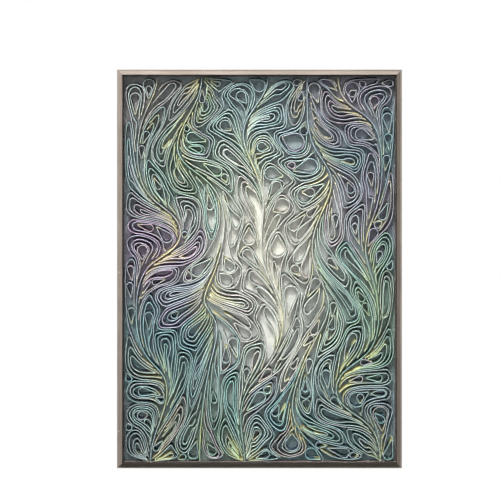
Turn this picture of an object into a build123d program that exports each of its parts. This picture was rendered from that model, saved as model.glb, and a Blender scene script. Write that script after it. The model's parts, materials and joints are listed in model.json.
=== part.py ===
from build123d import *
import math
import os

os.makedirs("parts", exist_ok=True)

# Outside of the frame, which hangs with its back at Y = 0 and faces -Y
overall_width = 500.0
overall_height = 700.0

# Frame rail: a flat outer fillet, a face that slopes forward to the sight edge, and a lip over the glazing
fillet_width = 3.0
slope_width = 7.5
slope_rise = 6.0
lip_width = 3.0
lip_depth = 6.0
arris_width = 0.8

# Stack behind the lip
glazing_thickness = 2.0
air_gap = 4.0
strip_depth = 12.0
board_thickness = 12.0
rebate_clearance = 0.5

# Paper strips, and the room they keep from each other
strip_thickness = 1.2
strip_gap = 2.0
root_gap = 0.8
field_margin = 2.0

# Keyholes routed into the back of the board
keyhole_spacing = 300.0
keyhole_drop = 70.0
keyhole_head_radius = 5.0
keyhole_slot_width = 5.0
keyhole_slot_rise = 12.0
keyhole_mouth_depth = 3.0
keyhole_depth = 9.0

# Layout of the paper: feathers side by side, with loops on both sides of each stem
feather_count = 5
loops_per_side = 10
zone_names = ["low", "middle", "high", "top"]
sweep_share = 1.5
interlock_share = 0.12
border_share = 0.039
head_end_share = 0.985
small_loop_share = 0.16
short_loop_share = 0.25
narrow_head_share = 0.17
drift_share = 0.08
# Each current that bends the pattern: waves across, waves up, strength
drift_wave_shares = [
    (2, 1, 0.8),
    (1, 2, -0.7),
    (3, 3, 0.9),
    (2, 5, -0.8),
    (4, 2, 0.5),
    (4, 5, -0.5),
    (1, 6, 0.4),
]

# Straight runs into which the curved strips are divided
side_runs = 3
head_runs = 5
stem_runs = 28

# Sizes that follow
rail_width = fillet_width + slope_width
wall_width = rail_width - lip_width
spacer_depth = strip_depth + air_gap
glazing_back = board_thickness + spacer_depth
lip_back = glazing_back + glazing_thickness
frame_depth = lip_back + lip_depth
sight_width = overall_width - 2 * rail_width
sight_height = overall_height - 2 * rail_width
rebate_width = overall_width - 2 * wall_width
rebate_height = overall_height - 2 * wall_width
field_width = sight_width - 2 * field_margin
field_height = sight_height - 2 * field_margin
feather_pitch = field_width / feather_count
reach = feather_pitch / 2
loop_pitch = field_height / loops_per_side
sweep = sweep_share * loop_pitch
border = border_share * field_height
strip_inset = (strip_thickness + strip_gap) / 2
root_width = 2 * strip_thickness + root_gap + strip_gap
board_front = Plane.XZ.offset(board_thickness)


def current(x, z):
    """Direction in which the pattern is pushed at a point of the field."""
    across = 0
    up = 0
    for waves_across, waves_up, strength in drift_wave_shares:
        turn_x = math.pi * waves_across / field_width
        turn_z = math.pi * waves_up / field_height
        size = math.hypot(turn_x, turn_z)
        across += strength * math.sin(turn_x * x) * math.cos(turn_z * z) * turn_z / size
        up -= strength * math.cos(turn_x * x) * math.sin(turn_z * z) * turn_x / size
    return across, up


def drifted(x, z):
    """Carry a point along the currents, which never cross the edge of the field."""
    steps = 6
    step = drift_share * field_width / steps
    for _ in range(steps):
        across, up = current(x, z)
        across, up = current(x + across * step / 2, z + up * step / 2)
        x += across * step
        z += up * step
    return x - field_width / 2, z - field_height / 2


def pressed(z):
    """Press heights near or past the top and bottom edges back into the field."""
    if z > field_height - border:
        return field_height - border * math.exp((field_height - border - z) / border)
    if z < border:
        return border * math.exp((z - border) / border)
    return z


def spread(behind, ahead, low, high):
    """Distance from low to high, measured square to the way from behind to ahead."""
    run_x = ahead[0] - behind[0]
    run_z = ahead[1] - behind[1]
    return abs(run_x * (high[1] - low[1]) - run_z * (high[0] - low[0])) / math.hypot(run_x, run_z)


class Cell:
    """Room for one loop: along runs from the stem to the head, across from side to side."""

    def __init__(self, feather, side, root):
        self.stem_x = (feather + 0.5) * feather_pitch
        self.side = side
        self.root = root
        self.rising = feather % 2 == 0
        first = feather == 0 and side < 0
        last = feather == feather_count - 1 and side > 0
        self.interlock = 0 if first or last else interlock_share * reach

    def height(self, along, across):
        height = self.root + sweep * math.sin(along * math.pi / 2) + across * loop_pitch
        return height if self.rising else field_height - height

    def point(self, along, across):
        out = reach * (1 - math.cos(along * math.pi / 2))
        height = self.height(along, across)
        head = self.height(1, 0.5)
        wave = math.cos(2 * math.pi * (height - head) / loop_pitch)
        out += self.interlock * (out / reach) ** 3 * wave
        return drifted(self.stem_x + self.side * out, pressed(height))

    def width(self, along):
        step = 0.01
        ends = self.point(along, 0), self.point(along, 1)
        return spread(self.point(along - step, 0.5), self.point(along + step, 0.5), *ends)

    def stem_room(self, along, across):
        height = pressed(self.height(along, across))
        step = border / 20
        below = drifted(self.stem_x, height - step)
        above = drifted(self.stem_x, height + step)
        return spread(below, above, drifted(self.stem_x, height), self.point(along, across))

    def clear_of_stem(self, along):
        room = min(self.stem_room(along, across) for across in (0, 0.5, 1))
        return room >= strip_thickness + strip_gap

    def stretch(self, least_width):
        """From the first place clear of the stem and wide enough to the last place with room for a head."""
        steps = 32
        places = [index / steps for index in range(2, steps)]
        wide = [along for along in places if self.width(along) >= least_width]
        starts = [along for along in wide if self.clear_of_stem(along)]
        heads = [along for along in wide if self.width(along) >= narrow_head_share * loop_pitch]
        if not starts or not heads or heads[-1] - starts[0] < short_loop_share:
            return None
        return starts[0], min(heads[-1], head_end_share)

    def neck(self, first, last):
        """Place from which the loop's head turns in a half circle."""
        end_point = self.point(last, 0.5)
        nearest = first + (last - first) / 3
        along = last
        while along > nearest:
            along -= 0.02
            half = self.width(along) / 2 - strip_inset
            if math.dist(self.point(along, 0.5), end_point) >= half:
                break
        return max(along, nearest)


def loop_points(cell, first, last):
    """Middle line of a loop: out along one side of its cell, round the head and back to the root."""
    neck = cell.neck(first, last)
    half = 0.5 - strip_inset / cell.width(neck)
    out = []
    back = []
    for index in range(side_runs):
        along = first + (neck - first) * index / side_runs
        inset = strip_inset / cell.width(along)
        out.append(cell.point(along, inset))
        back.append(cell.point(along, 1 - inset))
    head = []
    for index in range(head_runs + 1):
        turn = math.pi * (index / head_runs - 0.5)
        along = neck + (last - neck) * math.cos(turn)
        head.append(cell.point(along, 0.5 + half * math.sin(turn)))
    return out + head + back[::-1]


def enclosed(points):
    """Area inside a row of points."""
    pairs = zip(points, points[1:] + points[:1])
    return abs(sum(a[0] * b[1] - a[1] * b[0] for a, b in pairs)) / 2


def direction(start, end):
    """Unit direction from one point to another."""
    distance = math.dist(start, end)
    return (end[0] - start[0]) / distance, (end[1] - start[1]) / distance


def strip_outline(points):
    """Both faces of a strip on edge, as one closed row of points."""
    half = strip_thickness / 2
    runs = [direction(start, end) for start, end in zip(points, points[1:])]
    left = []
    right = []
    for (x, z), before, after in zip(points, runs[:1] + runs, runs + runs[-1:]):
        mitre = 1 + before[0] * after[0] + before[1] * after[1]
        offset_x = half * (before[1] + after[1]) / mitre
        offset_z = half * (before[0] + after[0]) / mitre
        left.append((x - offset_x, z + offset_z))
        right.append((x + offset_x, z - offset_z))
    return left + right[::-1]


# Loops by feather, side of the stem and height in the field
loops = {}
for feather in range(feather_count):
    for side, side_name in ((-1, "left"), (1, "right")):
        shift = 0.5 if side < 0 else 0
        for index in range(-3, loops_per_side + 1):
            cell = Cell(feather, side, (index + shift) * loop_pitch)
            ends = cell.stretch(root_width)
            if ends is None:
                continue
            points = loop_points(cell, *ends)
            size = enclosed(points) / loop_pitch / reach
            if size < small_loop_share:
                continue
            middle = sum(z for x, z in points) / len(points) / field_height + 0.5
            zone = zone_names[int(middle * len(zone_names))]
            loops.setdefault(f"feather_{feather + 1}_{side_name}_{zone}", []).append(points)

# Stems
stems = {}
for feather in range(feather_count):
    middle = (feather + 0.5) * feather_pitch
    heights = [field_height * run / stem_runs for run in range(stem_runs + 1)]
    stems[f"feather_{feather + 1}_stem"] = [[drifted(middle, height) for height in heights]]

# Paper strips stand on edge on the front of the board
for name, rows in (loops | stems).items():
    with BuildPart() as strips:
        with BuildSketch(board_front):
            for points in rows:
                with BuildLine():
                    Polyline(*strip_outline(points), close=True)
                make_face()
        extrude(amount=strip_depth)
    strips.part.label = name
    export_step(strips.part, f"parts/{name}.step")

# Backing board with two keyholes in its back
with BuildPart() as backing_board:
    with BuildSketch(Plane.XZ):
        Rectangle(rebate_width - 2 * rebate_clearance, rebate_height - 2 * rebate_clearance)
    extrude(amount=board_thickness)
    hole_height = overall_height / 2 - keyhole_drop
    slot_height = hole_height + keyhole_slot_rise / 2
    with BuildSketch(Plane.XZ):
        with Locations((-keyhole_spacing / 2, hole_height), (keyhole_spacing / 2, hole_height)):
            Circle(keyhole_head_radius)
        with Locations((-keyhole_spacing / 2, slot_height), (keyhole_spacing / 2, slot_height)):
            SlotCenterToCenter(keyhole_slot_rise, keyhole_slot_width, rotation=90)
    extrude(amount=keyhole_mouth_depth, mode=Mode.SUBTRACT)
    with BuildSketch(Plane.XZ.offset(keyhole_mouth_depth)):
        with Locations((-keyhole_spacing / 2, slot_height), (keyhole_spacing / 2, slot_height)):
            SlotCenterToCenter(keyhole_slot_rise, 2 * keyhole_head_radius, rotation=90)
    extrude(amount=keyhole_depth - keyhole_mouth_depth, mode=Mode.SUBTRACT)
backing_board.part.label = "backing_board"
export_step(backing_board.part, "parts/backing_board.step")

# Spacers between the board and the glazing
with BuildPart() as top_spacer:
    with BuildSketch(board_front):
        with Locations((0, (sight_height + lip_width) / 2)):
            Rectangle(rebate_width, lip_width)
    extrude(amount=spacer_depth)
top_spacer.part.label = "top_spacer"
export_step(top_spacer.part, "parts/top_spacer.step")

with BuildPart() as bottom_spacer:
    with BuildSketch(board_front):
        with Locations((0, -(sight_height + lip_width) / 2)):
            Rectangle(rebate_width, lip_width)
    extrude(amount=spacer_depth)
bottom_spacer.part.label = "bottom_spacer"
export_step(bottom_spacer.part, "parts/bottom_spacer.step")

with BuildPart() as left_spacer:
    with BuildSketch(board_front):
        with Locations((-(sight_width + lip_width) / 2, 0)):
            Rectangle(lip_width, sight_height)
    extrude(amount=spacer_depth)
left_spacer.part.label = "left_spacer"
export_step(left_spacer.part, "parts/left_spacer.step")

with BuildPart() as right_spacer:
    with BuildSketch(board_front):
        with Locations(((sight_width + lip_width) / 2, 0)):
            Rectangle(lip_width, sight_height)
    extrude(amount=spacer_depth)
right_spacer.part.label = "right_spacer"
export_step(right_spacer.part, "parts/right_spacer.step")

# Clear glazing between the spacers and the lip
with BuildPart() as glazing:
    with BuildSketch(Plane.XZ.offset(glazing_back)):
        Rectangle(rebate_width - 2 * rebate_clearance, rebate_height - 2 * rebate_clearance)
    extrude(amount=glazing_thickness)
glazing.part.label = "glazing"
export_step(glazing.part, "parts/glazing.step")

# Rail section: distance in from the outside of the frame, distance forward from its back
front_fillet = frame_depth - slope_rise
arris_drop = arris_width * slope_rise / slope_width
rail_section = [
    (0, 0),
    (0, front_fillet - arris_width),
    (arris_width, front_fillet),
    (fillet_width, front_fillet),
    (rail_width - arris_width, frame_depth - arris_drop),
    (rail_width, frame_depth - arris_drop - arris_width),
    (rail_width, lip_back),
    (wall_width, lip_back),
    (wall_width, 0),
]
half_width = overall_width / 2
half_height = overall_height / 2
corners = [
    (half_width, half_height),
    (-half_width, half_height),
    (-half_width, -half_height),
    (half_width, -half_height),
]
inner_corners = [
    (sight_width / 2, sight_height / 2),
    (-sight_width / 2, sight_height / 2),
    (-sight_width / 2, -sight_height / 2),
    (sight_width / 2, -sight_height / 2),
]

# Four rails, each cut to a mitre at both ends
for index, name in enumerate(("top_rail", "left_rail", "bottom_rail", "right_rail")):
    upright = name in ("left_rail", "right_rail")
    sign = 1 if name in ("top_rail", "right_rail") else -1
    with BuildPart() as rail:
        if upright:
            outline = [(sign * (half_width - inward), -forward) for inward, forward in rail_section]
            plane = Plane.XY
            half_length = half_height
        else:
            outline = [(-forward, sign * (half_height - inward)) for inward, forward in rail_section]
            plane = Plane.YZ
            half_length = half_width
        with BuildSketch(plane):
            with BuildLine():
                Polyline(*outline, close=True)
            make_face()
        extrude(amount=half_length, both=True)
        with BuildSketch(Plane.XZ):
            after = (index + 1) % len(corners)
            mitred = [corners[index], corners[after], inner_corners[after], inner_corners[index]]
            with BuildLine():
                Polyline(*mitred, close=True)
            make_face()
        extrude(amount=frame_depth, mode=Mode.INTERSECT)
    rail.part.label = name
    export_step(rail.part, f"parts/{name}.step")
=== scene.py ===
"""Framed panel of curled paper strips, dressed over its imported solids."""

import json
import logging
import math
import random
from dataclasses import dataclass, field
from enum import Enum

import bpy
import numpy as np
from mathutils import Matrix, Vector

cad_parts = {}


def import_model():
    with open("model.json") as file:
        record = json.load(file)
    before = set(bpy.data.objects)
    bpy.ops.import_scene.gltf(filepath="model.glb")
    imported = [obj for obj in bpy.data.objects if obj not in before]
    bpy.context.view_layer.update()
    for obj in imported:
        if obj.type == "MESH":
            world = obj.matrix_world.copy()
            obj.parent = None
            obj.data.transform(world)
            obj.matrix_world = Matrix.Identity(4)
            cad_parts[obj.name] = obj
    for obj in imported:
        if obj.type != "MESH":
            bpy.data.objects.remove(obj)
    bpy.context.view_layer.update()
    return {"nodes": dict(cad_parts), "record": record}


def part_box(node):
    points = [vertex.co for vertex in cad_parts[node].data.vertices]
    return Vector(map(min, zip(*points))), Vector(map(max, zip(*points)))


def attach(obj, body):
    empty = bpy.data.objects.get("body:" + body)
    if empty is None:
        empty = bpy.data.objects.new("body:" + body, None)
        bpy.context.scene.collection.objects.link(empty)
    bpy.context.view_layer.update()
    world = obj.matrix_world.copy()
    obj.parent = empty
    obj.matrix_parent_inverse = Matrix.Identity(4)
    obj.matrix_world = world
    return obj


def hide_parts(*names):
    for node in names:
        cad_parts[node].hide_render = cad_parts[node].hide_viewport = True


log = logging.getLogger("paper_panel")

Colour = tuple[float, float, float, float]


def linear(red: float, green: float, blue: float) -> Colour:
    """Turn a screen colour into linear light.

    Args:
        red: Screen value from 0 to 255.
        green: Screen value from 0 to 255.
        blue: Screen value from 0 to 255.

    Returns:
        Linear red, green and blue with an alpha of 1.
    """
    shares = [value / 255 for value in (red, green, blue)]
    light = [s / 12.92 if s <= 0.04045 else ((s + 0.055) / 1.055) ** 2.4 for s in shares]
    return light[0], light[1], light[2], 1.0


class Paper(Enum):
    """Paper colours, as screen values."""

    SLATE = (110, 126, 136)
    TEAL = (82, 126, 132)
    GREEN = (116, 148, 122)
    MAUVE = (142, 116, 146)
    TAUPE = (152, 130, 118)
    PALE_BLUE = (158, 174, 178)
    IVORY = (234, 230, 220)
    STRAW = (228, 220, 146)

    @property
    def light(self) -> Colour:
        """Colour in linear light."""
        return linear(*self.value)


class Grain(Enum):
    """Axis that a rail's grain runs along."""

    LEVEL = (0.05, 1.0, 1.0)
    UPRIGHT = (1.0, 1.0, 0.05)


@dataclass(frozen=True)
class ColourField:
    """Soft round area of the panel where one paper colour leads.

    Attributes:
        x: Middle of the area across the panel, in metres.
        z: Middle of the area up the panel, in metres.
        radius: Distance at which the colour has faded out, in metres.
        paper: Colour that leads there.
        strength: Share of that colour at the middle.
    """

    x: float
    z: float
    radius: float
    paper: Paper
    strength: float = 1.0

    def weight(self, x: float, z: float) -> float:
        """Share of this field's colour at a point.

        Args:
            x: Place across the panel, in metres.
            z: Place up the panel, in metres.

        Returns:
            Share from 0 to 1.
        """
        near = max(0.0, 1 - math.hypot(x - self.x, z - self.z) / self.radius)
        return self.strength * near * near * (3 - 2 * near)


FIELDS = (
    ColourField(0.12, -0.27, 0.20, Paper.TEAL, 0.7),
    ColourField(-0.19, -0.14, 0.17, Paper.TEAL, 0.9),
    ColourField(-0.08, -0.28, 0.13, Paper.GREEN, 0.7),
    ColourField(0.20, -0.08, 0.15, Paper.GREEN, 0.9),
    ColourField(-0.10, 0.17, 0.15, Paper.GREEN, 0.9),
    ColourField(-0.19, 0.03, 0.13, Paper.MAUVE, 1.0),
    ColourField(0.19, 0.12, 0.11, Paper.MAUVE, 0.6),
    ColourField(0.22, 0.22, 0.12, Paper.TEAL, 0.6),
    ColourField(-0.22, 0.30, 0.15, Paper.TAUPE, 0.5),
    ColourField(0.16, 0.31, 0.13, Paper.MAUVE, 0.6),
    ColourField(0.0, 0.26, 0.14, Paper.PALE_BLUE, 0.8),
    ColourField(0.03, -0.12, 0.15, Paper.IVORY, 0.7),
    ColourField(0.01, 0.05, 0.21, Paper.IVORY, 1.0),
)


@dataclass(frozen=True)
class PaperLayout:
    """Rules of the feathered paper pattern, with lengths in metres.

    Attributes:
        field_width: Width of the field that the paper fills.
        field_height: Height of the field.
        strip_thickness: Thickness of a strip.
        strip_gap: Gap between the loops of two cells.
        root_gap: Gap between the two sides of a loop at its root.
        nest_spacing: Mean distance from one loop of a nest to the next.
        nest_gap: Least gap between the loops of a nest.
        feather_count: Number of feathers.
        loops_per_side: Loops along the field's height on each side of a stem.
        loops_below_foot: Loops more, whose roots lie below the stem's foot.
        sweep_share: Climb of a loop from root to head, in loop pitches.
        interlock_share: Depth to which heads interlock, as a share of their reach.
        border_share: Depth of the pressed bands, as a share of the height.
        head_end_share: Furthest place of a head along its cell.
        small_loop_share: Area under which a loop is left out, as a share of a cell's.
        short_loop_share: Length under which a loop is left out, as a share of a cell's.
        narrow_head_share: Least width of a head, in loop pitches.
        drift_share: Length of the currents' push, as a share of the width.
        drift_steps: Steps in which the push is made.
        drift_waves: Waves across, waves up and strength of each current.
        zones: Names of the heights by which loops are grouped.
    """

    field_width: float = 0.475
    field_height: float = 0.675
    strip_thickness: float = 0.0012
    strip_gap: float = 0.002
    root_gap: float = 0.0008
    nest_spacing: float = 0.0049
    nest_gap: float = 0.0004
    feather_count: int = 5
    loops_per_side: int = 10
    loops_below_foot: int = 3
    sweep_share: float = 1.5
    interlock_share: float = 0.12
    border_share: float = 0.039
    head_end_share: float = 0.985
    small_loop_share: float = 0.168
    short_loop_share: float = 0.25
    narrow_head_share: float = 0.17
    drift_share: float = 0.08
    drift_steps: int = 6
    drift_waves: tuple[tuple[float, float, float], ...] = (
        (2, 1, 0.8),
        (1, 2, -0.7),
        (3, 3, 0.9),
        (2, 5, -0.8),
        (4, 2, 0.5),
        (4, 5, -0.5),
        (1, 6, 0.4),
    )
    zones: tuple[str, ...] = ("low", "middle", "high", "top")

    @property
    def feather_pitch(self) -> float:
        """Distance from one stem to the next."""
        return self.field_width / self.feather_count

    @property
    def reach(self) -> float:
        """Distance from a stem to the heads of its loops."""
        return self.feather_pitch / 2

    @property
    def loop_pitch(self) -> float:
        """Distance from one loop to the next along a stem."""
        return self.field_height / self.loops_per_side

    @property
    def loop_indexes(self) -> range:
        """Places of the loops along a stem."""
        return range(-self.loops_below_foot, self.loops_per_side + 1)

    @property
    def sweep(self) -> float:
        """Height that a loop climbs from root to head."""
        return self.sweep_share * self.loop_pitch

    @property
    def border(self) -> float:
        """Depth of the bands at top and bottom in which loops are pressed in."""
        return self.border_share * self.field_height

    @property
    def strip_inset(self) -> float:
        """Distance of an outer strip's middle from the edge of its cell."""
        return (self.strip_thickness + self.strip_gap) / 2

    @property
    def root_width(self) -> float:
        """Least width of a cell that takes both sides of a loop."""
        return 2 * self.strip_thickness + self.root_gap + self.strip_gap

    def stem(self, feather: int) -> float:
        """Place of a stem across the field."""
        return (feather + 0.5) * self.feather_pitch

    def current(self, x: np.ndarray, z: np.ndarray) -> tuple[np.ndarray, np.ndarray]:
        """Direction in which the pattern is pushed at points of the field.

        Args:
            x: Places across the field.
            z: Places up the field.

        Returns:
            Push across and push up.
        """
        waves = np.array(self.drift_waves)
        turn_x = np.pi * waves[:, 0] / self.field_width
        turn_z = np.pi * waves[:, 1] / self.field_height
        size = np.hypot(turn_x, turn_z)
        phase_x = np.multiply.outer(x, turn_x)
        phase_z = np.multiply.outer(z, turn_z)
        across = (np.sin(phase_x) * np.cos(phase_z)) @ (waves[:, 2] * turn_z / size)
        up = -(np.cos(phase_x) * np.sin(phase_z)) @ (waves[:, 2] * turn_x / size)
        return across, up

    def drifted(self, x: np.ndarray, z: np.ndarray) -> np.ndarray:
        """Carry points along the currents, which never cross the edge of the field.

        Args:
            x: Places across the field.
            z: Places up the field.

        Returns:
            Points on the panel, measured from its middle.
        """
        step = self.drift_share * self.field_width / self.drift_steps
        for _ in range(self.drift_steps):
            across, up = self.current(x, z)
            across, up = self.current(x + across * step / 2, z + up * step / 2)
            x = x + across * step
            z = z + up * step
        return np.stack([x - self.field_width / 2, z - self.field_height / 2], axis=-1)

    def pressed(self, z: np.ndarray) -> np.ndarray:
        """Press heights near or past the top and bottom edges back into the field.

        Args:
            z: Heights in the field.

        Returns:
            Heights inside the field.
        """
        top = self.field_height - self.border
        high = self.field_height - self.border * np.exp(np.minimum((top - z) / self.border, 0))
        low = self.border * np.exp(np.minimum((z - self.border) / self.border, 0))
        return np.where(z > top, high, np.where(z < self.border, low, z))


def spread(behind: np.ndarray, ahead: np.ndarray, low: np.ndarray, high: np.ndarray) -> np.ndarray:
    """Distance from low to high, measured square to the way from behind to ahead.

    Args:
        behind: Points before the places measured.
        ahead: Points after them.
        low: Points on one side.
        high: Points on the other side.

    Returns:
        Distances in metres.
    """
    run = ahead - behind
    gap = high - low
    across = run[..., 0] * gap[..., 1] - run[..., 1] * gap[..., 0]
    return np.abs(across) / np.hypot(run[..., 0], run[..., 1])


def distances(points: np.ndarray) -> np.ndarray:
    """Distance of each point of a line from its start, along the line."""
    return np.concatenate([[0], np.cumsum(np.linalg.norm(np.diff(points, axis=0), axis=1))])


def evened(points: np.ndarray, step: float, least: int) -> np.ndarray:
    """Divide a line into equal runs.

    Args:
        points: Line on the panel.
        step: Distance between the new points.
        least: Least number of new points.

    Returns:
        Line with the same ends.
    """
    place = distances(points)
    even = np.linspace(0, place[-1], max(least, int(place[-1] / step)))
    return np.stack([np.interp(even, place, points[:, axis]) for axis in (0, 1)], axis=-1)


def smoothed(points: np.ndarray, step: float = 0.0012, passes: int = 6) -> np.ndarray:
    """Even out a line, as springy paper takes out small kinks.

    Args:
        points: Line on the panel.
        step: Distance between the points of the new line.
        passes: Number of times that each point moves towards its neighbours.

    Returns:
        Line with the same ends.
    """
    line = evened(points, step, 6)
    for _ in range(passes):
        line[1:-1] = (line[:-2] + 2 * line[1:-1] + line[2:]) / 4
    return line


def uncrossed(points: np.ndarray, others: list[np.ndarray]) -> np.ndarray:
    """Shorten a line from both ends until it crosses no other line.

    Args:
        points: Line on the panel, with its head half way along.
        others: Lines that it keeps clear of.

    Returns:
        The part of the line round its head.
    """
    start, end = points[:-1, None, :], points[1:, None, :]
    hit = np.zeros(len(points) - 1, bool)

    def side(base: np.ndarray, tip: np.ndarray, spot: np.ndarray) -> np.ndarray:
        """Which side of a line from base to tip a spot lies on."""
        run, way = tip - base, spot - base
        return run[..., 0] * way[..., 1] > run[..., 1] * way[..., 0]

    for other in others:
        low, high = other[None, :-1, :], other[None, 1:, :]
        apart = side(start, end, low) != side(start, end, high)
        hit |= (apart & (side(low, high, start) != side(low, high, end))).any(axis=1)
    middle = len(hit) // 2
    before = np.flatnonzero(hit[:middle])
    after = np.flatnonzero(hit[middle:])
    first = before[-1] + 2 if len(before) else 0
    last = middle + after[0] - 1 if len(after) else len(points) - 1
    return points[first : last + 1]


@dataclass(frozen=True)
class Bound:
    """Side of a loop: a share of the way across its cell, and a distance on from there."""

    share: float
    distance: float


class Filling(Enum):
    """What stands inside a loop."""

    TWIN = "two drops side by side"
    PETALS = "a drop at the head and one on each side behind it"
    NEST = "loops inside each other"


@dataclass(frozen=True)
class Cell:
    """Room for one loop: along runs from the stem to the head, across from side to side.

    Attributes:
        layout: Rules of the pattern.
        feather: Number of the feather, from 0.
        side: Side of the stem, -1 for left and 1 for right.
        index: Place of the loop along the stem.
        step: Share of the way along by which places are searched.
        side_runs: Straight runs on each side of a loop.
        head_runs: Straight runs round its head.
    """

    layout: PaperLayout
    feather: int
    side: int
    index: int
    step: float = 0.01
    side_runs: int = 20
    head_runs: int = 26

    @property
    def stem_x(self) -> float:
        """Place of the stem across the field."""
        return self.layout.stem(self.feather)

    @property
    def root(self) -> float:
        """Height of the root on the stem."""
        return (self.index + (0.5 if self.side < 0 else 0)) * self.layout.loop_pitch

    @property
    def interlock(self) -> float:
        """Depth to which the heads reach between those of the next feather."""
        outermost = (0, -1), (self.layout.feather_count - 1, 1)
        if (self.feather, self.side) in outermost:
            return 0.0
        return self.layout.interlock_share * self.layout.reach

    def height(self, along: np.ndarray, across: np.ndarray) -> np.ndarray:
        """Heights of places of the cell before pressing.

        Args:
            along: Shares of the way from stem to head.
            across: Shares of the way from side to side.

        Returns:
            Heights in the field.
        """
        rise = self.layout.sweep * np.sin(along * np.pi / 2)
        height = self.root + rise + across * self.layout.loop_pitch
        return height if self.feather % 2 == 0 else self.layout.field_height - height

    def point(self, along: np.ndarray, across: np.ndarray) -> np.ndarray:
        """Points on the panel for places in the cell.

        Args:
            along: Shares of the way from stem to head.
            across: Shares of the way from side to side.

        Returns:
            Points measured from the panel's middle.
        """
        along, across = np.broadcast_arrays(np.asarray(along, float), np.asarray(across, float))
        out = self.layout.reach * (1 - np.cos(along * np.pi / 2))
        height = self.height(along, across)
        wave = np.cos(2 * np.pi * (height - self.height(1, 0.5)) / self.layout.loop_pitch)
        out = out + self.interlock * (out / self.layout.reach) ** 3 * wave
        return self.layout.drifted(self.stem_x + self.side * out, self.layout.pressed(height))

    def width(self, along: np.ndarray) -> np.ndarray:
        """Width of the cell, square to its middle line.

        Args:
            along: Shares of the way from stem to head.

        Returns:
            Widths in metres.
        """
        along = np.asarray(along, float)
        behind = self.point(along - self.step, 0.5)
        ahead = self.point(along + self.step, 0.5)
        return spread(behind, ahead, self.point(along, 0), self.point(along, 1))

    def width_at(self, along: float) -> float:
        """Width of the cell at one place."""
        return float(self.width(np.array([along]))[0])

    def stem_room(self, along: np.ndarray) -> np.ndarray:
        """Least distance of the cell from its stem at places along it.

        Args:
            along: Shares of the way from stem to head.

        Returns:
            Distances in metres.
        """
        rooms = []
        step = self.layout.border / 20
        for across in (0, 0.5, 1):
            height = self.layout.pressed(self.height(along, across))
            stem = np.full_like(height, self.stem_x)
            below = self.layout.drifted(stem, height - step)
            above = self.layout.drifted(stem, height + step)
            on_stem = self.layout.drifted(stem, height)
            rooms.append(spread(below, above, on_stem, self.point(along, across)))
        return np.min(rooms, axis=0)

    def stretch(self, least_width: float) -> tuple[float, float] | None:
        """From the first place clear of the stem and wide enough to the last with room for a head.

        Args:
            least_width: Width that the cell needs there.

        Returns:
            First and last place, or None where the cell is too small.
        """
        sizes = self.layout
        places = np.arange(2, 32) / 32
        widths = self.width(places)
        wide = widths >= least_width
        starts = places[wide & (self.stem_room(places) >= sizes.strip_thickness + sizes.strip_gap)]
        heads = places[wide & (widths >= sizes.narrow_head_share * sizes.loop_pitch)]
        if not len(starts) or not len(heads) or heads[-1] - starts[0] < sizes.short_loop_share:
            return None
        return starts[0], min(heads[-1], sizes.head_end_share)

    def back_from(self, end: float, distance: float) -> float:
        """Place along the middle at a straight distance back from another place.

        Args:
            end: Place to measure from.
            distance: Distance back from it.

        Returns:
            Place along the cell, no further back than the stem.
        """
        places = end - self.step * np.arange(0, int(end / self.step) + 2)
        far = np.linalg.norm(self.point(places, 0.5) - self.point(end, 0.5), axis=-1) >= distance
        return float(places[np.argmax(far | (places <= 0))])

    def loop(self, first: float, last: float, low: Bound, high: Bound, least: float = 0.0) -> np.ndarray:
        """Middle line of a loop: out along one side, round the head and back.

        Args:
            first: Place where the loop starts.
            last: Place where its head ends.
            low: Side of the loop nearer the root of the stem.
            high: Side of the loop nearer its tip.
            least: Least distance between the two sides.

        Returns:
            Points on the panel.
        """
        neck = self.neck(first, last, low, high, least)
        along = first + (neck - first) * np.arange(self.side_runs) / self.side_runs
        bottom, top = self.sides(along, low, high, least)
        out = self.point(along, bottom)
        back = self.point(along, top)
        bottom, top = self.sides(np.array([neck]), low, high, least)
        turn = np.pi * (np.arange(self.head_runs + 1) / self.head_runs - 0.5)
        across = (bottom + top) / 2 + (top - bottom) / 2 * np.sin(turn)
        head = self.point(neck + (last - neck) * np.cos(turn), across)
        return np.concatenate([out, head, back[::-1]])

    def neck(self, first: float, last: float, low: Bound, high: Bound, least: float) -> float:
        """Place where a loop's sides end and its round head begins.

        Args:
            first: Place where the loop starts.
            last: Place where its head ends.
            low: One side of the loop.
            high: The other side.
            least: Least distance between the two sides.

        Returns:
            Place along the cell, at most two thirds of the loop back from its end.
        """
        step = 2 * self.step
        nearest = first + (last - first) / 3
        places = last - step * np.arange(1, max(2, int((last - nearest) / step) + 2))
        bottom, top = self.sides(places, low, high, least)
        half = (top - bottom) * self.width(places) / 2
        end = self.point(last, (bottom[0] + top[0]) / 2)
        round_enough = np.linalg.norm(self.point(places, (bottom + top) / 2) - end, axis=-1) >= half
        return max(float(places[np.argmax(round_enough)]), nearest) if round_enough.any() else nearest

    def sides(
        self, along: np.ndarray, low: Bound, high: Bound, least: float
    ) -> tuple[np.ndarray, np.ndarray]:
        """Places across the cell of a loop's two sides.

        Args:
            along: Places along the cell.
            low: One side.
            high: The other side.
            least: Least distance between them.

        Returns:
            Shares of the way across for both sides.
        """
        width = self.width(along)
        bottom = low.share + low.distance / width
        top = high.share + high.distance / width
        middle = (bottom + top) / 2
        half = np.maximum((top - bottom) / 2, least / 2 / width)
        return middle - half, middle + half

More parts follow.
